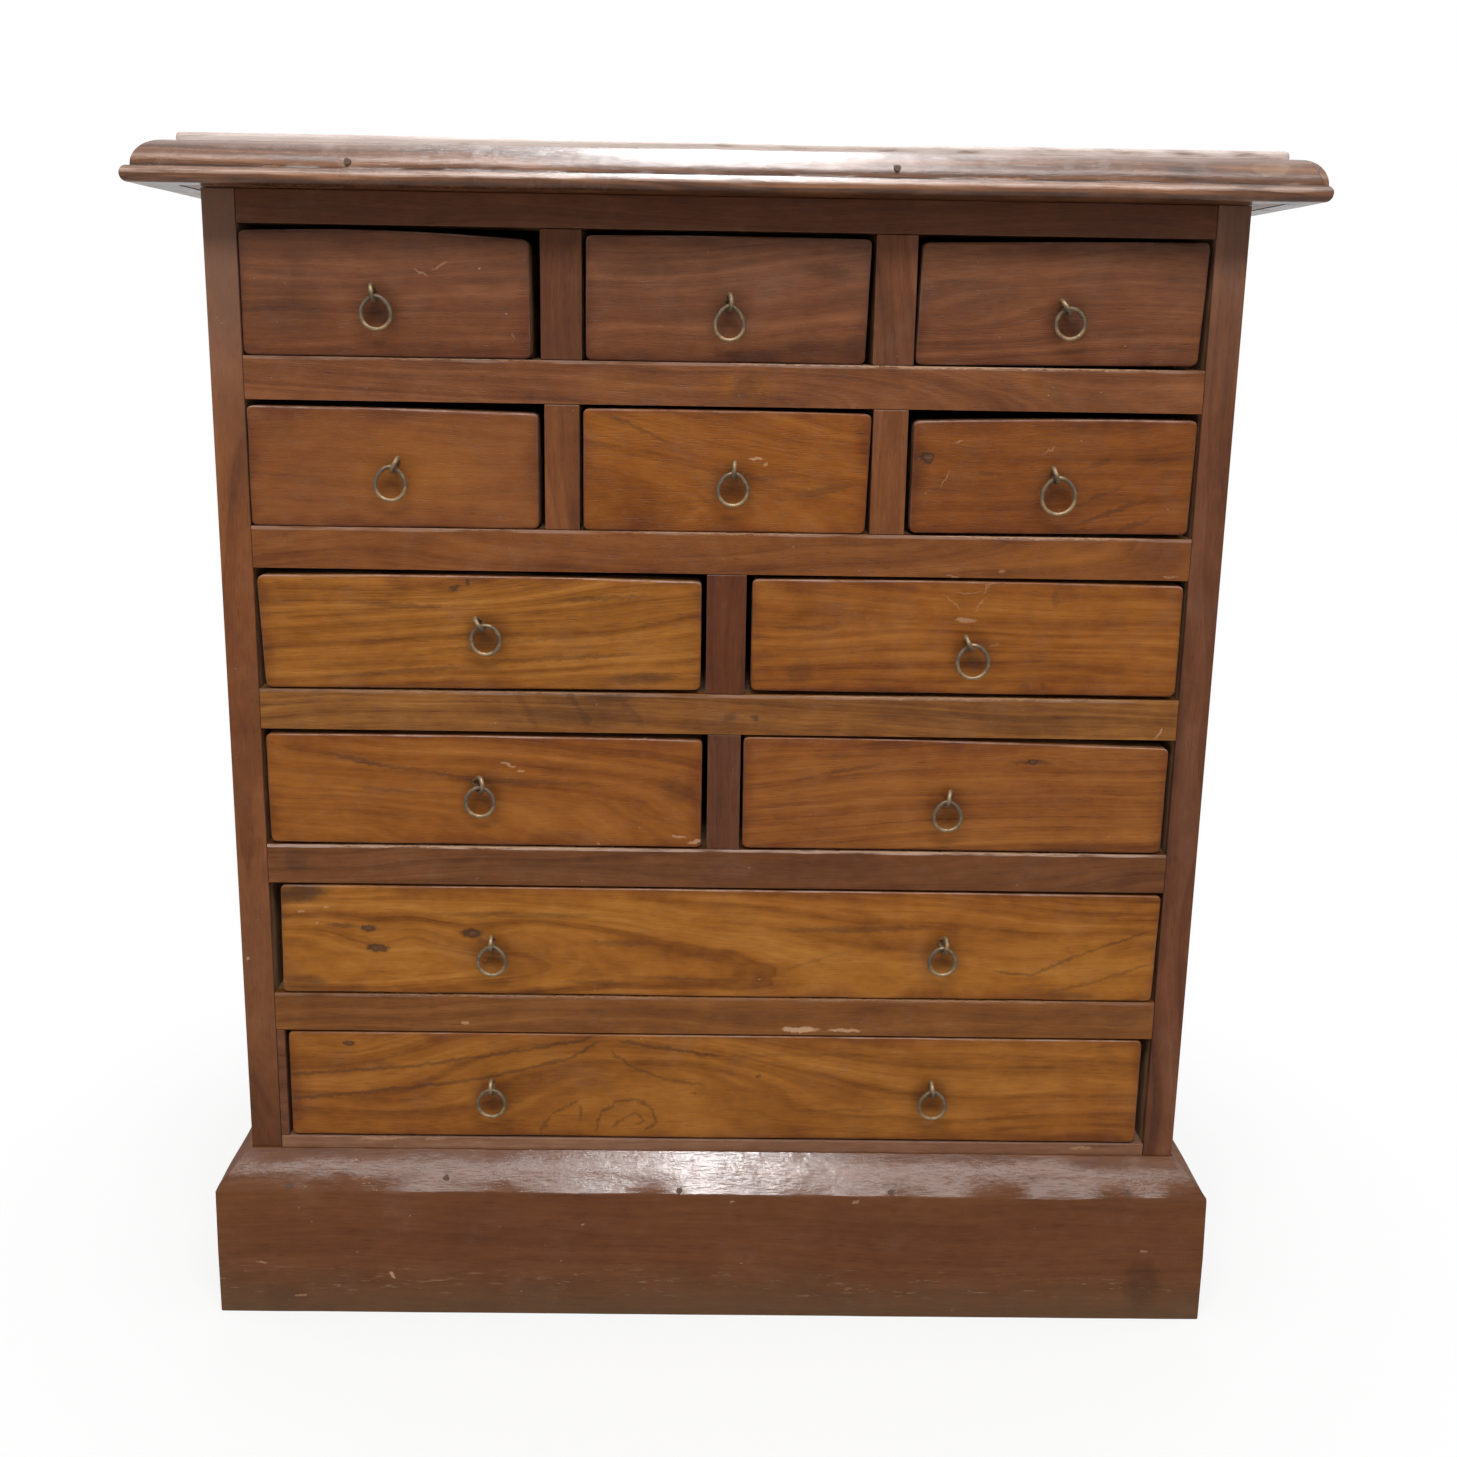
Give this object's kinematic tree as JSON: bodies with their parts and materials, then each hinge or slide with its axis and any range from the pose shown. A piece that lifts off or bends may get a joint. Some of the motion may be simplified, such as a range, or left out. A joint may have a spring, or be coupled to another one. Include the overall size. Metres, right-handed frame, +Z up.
{
  "type": "chest of drawers",
  "caption": "Small teak chest of drawers with moulded top, chamfered plinth, rows of worn drawers on board runners and brass ring pulls on split-pin eyes.",
  "frame": {"origin": "middle of the chest's footprint on the floor", "axes": "+Z up, -Y the way the drawers open, +X to the right as seen from the front"},
  "size_m": [0.669, 0.3644, 0.7327],
  "materials": {
    "frame_teak": "waxed, dark reddish brown",
    "front_teak": "waxed, golden brown",
    "back_board": "bare",
    "aged_brass": "tarnished"
  },
  "bodies": {
    "carcase": {"side_panel_left": "frame_teak", "side_panel_right": "frame_teak", "top_board": "frame_teak", "top_moulding": "frame_teak", "plinth": "frame_teak", "top_rail": "frame_teak", "bottom_board": "frame_teak", "filler_strip": "frame_teak", "shelf_1": "frame_teak", "shelf_2": "frame_teak", "shelf_3": "frame_teak", "shelf_4": "frame_teak", "shelf_5": "frame_teak", "divider_1_left": "frame_teak", "divider_1_right": "frame_teak", "divider_2_left": "frame_teak", "divider_2_right": "frame_teak", "divider_3": "frame_teak", "divider_4": "frame_teak", "back_panel": "back_board"},
    "drawer_1_left_box": {"drawer_1_left": "front_teak", "eye_1_left": "aged_brass"},
    "drawer_1_middle_box": {"drawer_1_middle": "front_teak", "eye_1_middle": "aged_brass"},
    "drawer_1_right_box": {"drawer_1_right": "front_teak", "eye_1_right": "aged_brass"},
    "drawer_2_left_box": {"drawer_2_left": "front_teak", "eye_2_left": "aged_brass"},
    "drawer_2_middle_box": {"drawer_2_middle": "front_teak", "eye_2_middle": "aged_brass"},
    "drawer_2_right_box": {"drawer_2_right": "front_teak", "eye_2_right": "aged_brass"},
    "drawer_3_left_box": {"drawer_3_left": "front_teak", "eye_3_left": "aged_brass"},
    "drawer_3_right_box": {"drawer_3_right": "front_teak", "eye_3_right": "aged_brass"},
    "drawer_4_left_box": {"drawer_4_left": "front_teak", "eye_4_left": "aged_brass"},
    "drawer_4_right_box": {"drawer_4_right": "front_teak", "eye_4_right": "aged_brass"},
    "drawer_5_box": {"drawer_5": "front_teak", "eye_5_left": "aged_brass", "eye_5_right": "aged_brass"},
    "drawer_6_box": {"drawer_6": "front_teak", "eye_6_left": "aged_brass", "eye_6_right": "aged_brass"},
    "ring_1_left": {"ring_1_left": "aged_brass"},
    "ring_1_middle": {"ring_1_middle": "aged_brass"},
    "ring_1_right": {"ring_1_right": "aged_brass"},
    "ring_2_left": {"ring_2_left": "aged_brass"},
    "ring_2_middle": {"ring_2_middle": "aged_brass"},
    "ring_2_right": {"ring_2_right": "aged_brass"},
    "ring_3_left": {"ring_3_left": "aged_brass"},
    "ring_3_right": {"ring_3_right": "aged_brass"},
    "ring_4_left": {"ring_4_left": "aged_brass"},
    "ring_4_right": {"ring_4_right": "aged_brass"},
    "ring_5_left": {"ring_5_left": "aged_brass"},
    "ring_5_right": {"ring_5_right": "aged_brass"},
    "ring_6_left": {"ring_6_left": "aged_brass"},
    "ring_6_right": {"ring_6_right": "aged_brass"}
  },
  "joints": [
    {"name": "drawer_1_left_slide", "type": "slide", "parent": "carcase", "child": "drawer_1_left_box", "axis": [0, -1, 0], "range_m": [0, 0.23]},
    {"name": "drawer_1_middle_slide", "type": "slide", "parent": "carcase", "child": "drawer_1_middle_box", "axis": [0, -1, 0], "range_m": [0, 0.23]},
    {"name": "drawer_1_right_slide", "type": "slide", "parent": "carcase", "child": "drawer_1_right_box", "axis": [0, -1, 0], "range_m": [0, 0.23]},
    {"name": "drawer_2_left_slide", "type": "slide", "parent": "carcase", "child": "drawer_2_left_box", "axis": [0, -1, 0], "range_m": [0, 0.23]},
    {"name": "drawer_2_middle_slide", "type": "slide", "parent": "carcase", "child": "drawer_2_middle_box", "axis": [0, -1, 0], "range_m": [0, 0.23]},
    {"name": "drawer_2_right_slide", "type": "slide", "parent": "carcase", "child": "drawer_2_right_box", "axis": [0, -1, 0], "range_m": [0, 0.23]},
    {"name": "drawer_3_left_slide", "type": "slide", "parent": "carcase", "child": "drawer_3_left_box", "axis": [0, -1, 0], "range_m": [0, 0.23]},
    {"name": "drawer_3_right_slide", "type": "slide", "parent": "carcase", "child": "drawer_3_right_box", "axis": [0, -1, 0], "range_m": [0, 0.23]},
    {"name": "drawer_4_left_slide", "type": "slide", "parent": "carcase", "child": "drawer_4_left_box", "axis": [0, -1, 0], "range_m": [0, 0.23]},
    {"name": "drawer_4_right_slide", "type": "slide", "parent": "carcase", "child": "drawer_4_right_box", "axis": [0, -1, 0], "range_m": [0, 0.23]},
    {"name": "drawer_5_slide", "type": "slide", "parent": "carcase", "child": "drawer_5_box", "axis": [0, -1, 0], "range_m": [0, 0.23]},
    {"name": "drawer_6_slide", "type": "slide", "parent": "carcase", "child": "drawer_6_box", "axis": [0, -1, 0], "range_m": [0, 0.23]},
    {"name": "ring_1_left_swing", "type": "hinge", "parent": "drawer_1_left_box", "child": "ring_1_left", "pos_m": [-0.20129, -0.15555, 0.64514], "axis": [-1, 0, 0], "range_deg": [-14, 165]},
    {"name": "ring_1_middle_swing", "type": "hinge", "parent": "drawer_1_middle_box", "child": "ring_1_middle", "pos_m": [0.00178, -0.15538, 0.64278], "axis": [-1, 0, 0], "range_deg": [-14, 165]},
    {"name": "ring_1_right_swing", "type": "hinge", "parent": "drawer_1_right_box", "child": "ring_1_right", "pos_m": [0.19837, -0.15555, 0.64463], "axis": [-1, 0, 0], "range_deg": [-14, 105]},
    {"name": "ring_2_left_swing", "type": "hinge", "parent": "drawer_2_left_box", "child": "ring_2_left", "pos_m": [-0.19598, -0.15555, 0.5483], "axis": [-1, 0, 0], "range_deg": [-14, 105]},
    {"name": "ring_2_middle_swing", "type": "hinge", "parent": "drawer_2_middle_box", "child": "ring_2_middle", "pos_m": [0.00528, -0.15555, 0.5474], "axis": [-1, 0, 0], "range_deg": [-14, 165]},
    {"name": "ring_2_right_swing", "type": "hinge", "parent": "drawer_2_right_box", "child": "ring_2_right", "pos_m": [0.1976, -0.15555, 0.54778], "axis": [-1, 0, 0], "range_deg": [-14, 165]},
    {"name": "ring_3_left_swing", "type": "hinge", "parent": "drawer_3_left_box", "child": "ring_3_left", "pos_m": [-0.14167, -0.15555, 0.45469], "axis": [-1, 0, 0], "range_deg": [-14, 105]},
    {"name": "ring_3_right_swing", "type": "hinge", "parent": "drawer_3_right_box", "child": "ring_3_right", "pos_m": [0.152, -0.15555, 0.44689], "axis": [-1, 0, 0], "range_deg": [-14, 105]},
    {"name": "ring_4_left_swing", "type": "hinge", "parent": "drawer_4_left_box", "child": "ring_4_left", "pos_m": [-0.14705, -0.15444, 0.35357], "axis": [-1, 0, 0], "range_deg": [-14, 165]},
    {"name": "ring_4_right_swing", "type": "hinge", "parent": "drawer_4_right_box", "child": "ring_4_right", "pos_m": [0.14113, -0.15538, 0.34863], "axis": [-1, 0, 0], "range_deg": [-14, 165]},
    {"name": "ring_5_left_swing", "type": "hinge", "parent": "drawer_5_box", "child": "ring_5_left", "pos_m": [-0.14134, -0.15555, 0.25015], "axis": [-1, 0, 0], "range_deg": [-14, 165]},
    {"name": "ring_5_right_swing", "type": "hinge", "parent": "drawer_5_box", "child": "ring_5_right", "pos_m": [0.14241, -0.15538, 0.25274], "axis": [-1, 0, 0], "range_deg": [-14, 165]},
    {"name": "ring_6_left_swing", "type": "hinge", "parent": "drawer_6_box", "child": "ring_6_left", "pos_m": [-0.1431, -0.15555, 0.15263], "axis": [-1, 0, 0], "range_deg": [-14, 165]},
    {"name": "ring_6_right_swing", "type": "hinge", "parent": "drawer_6_box", "child": "ring_6_right", "pos_m": [0.14014, -0.15555, 0.15452], "axis": [-1, 0, 0], "range_deg": [-14, 165]}
  ]
}
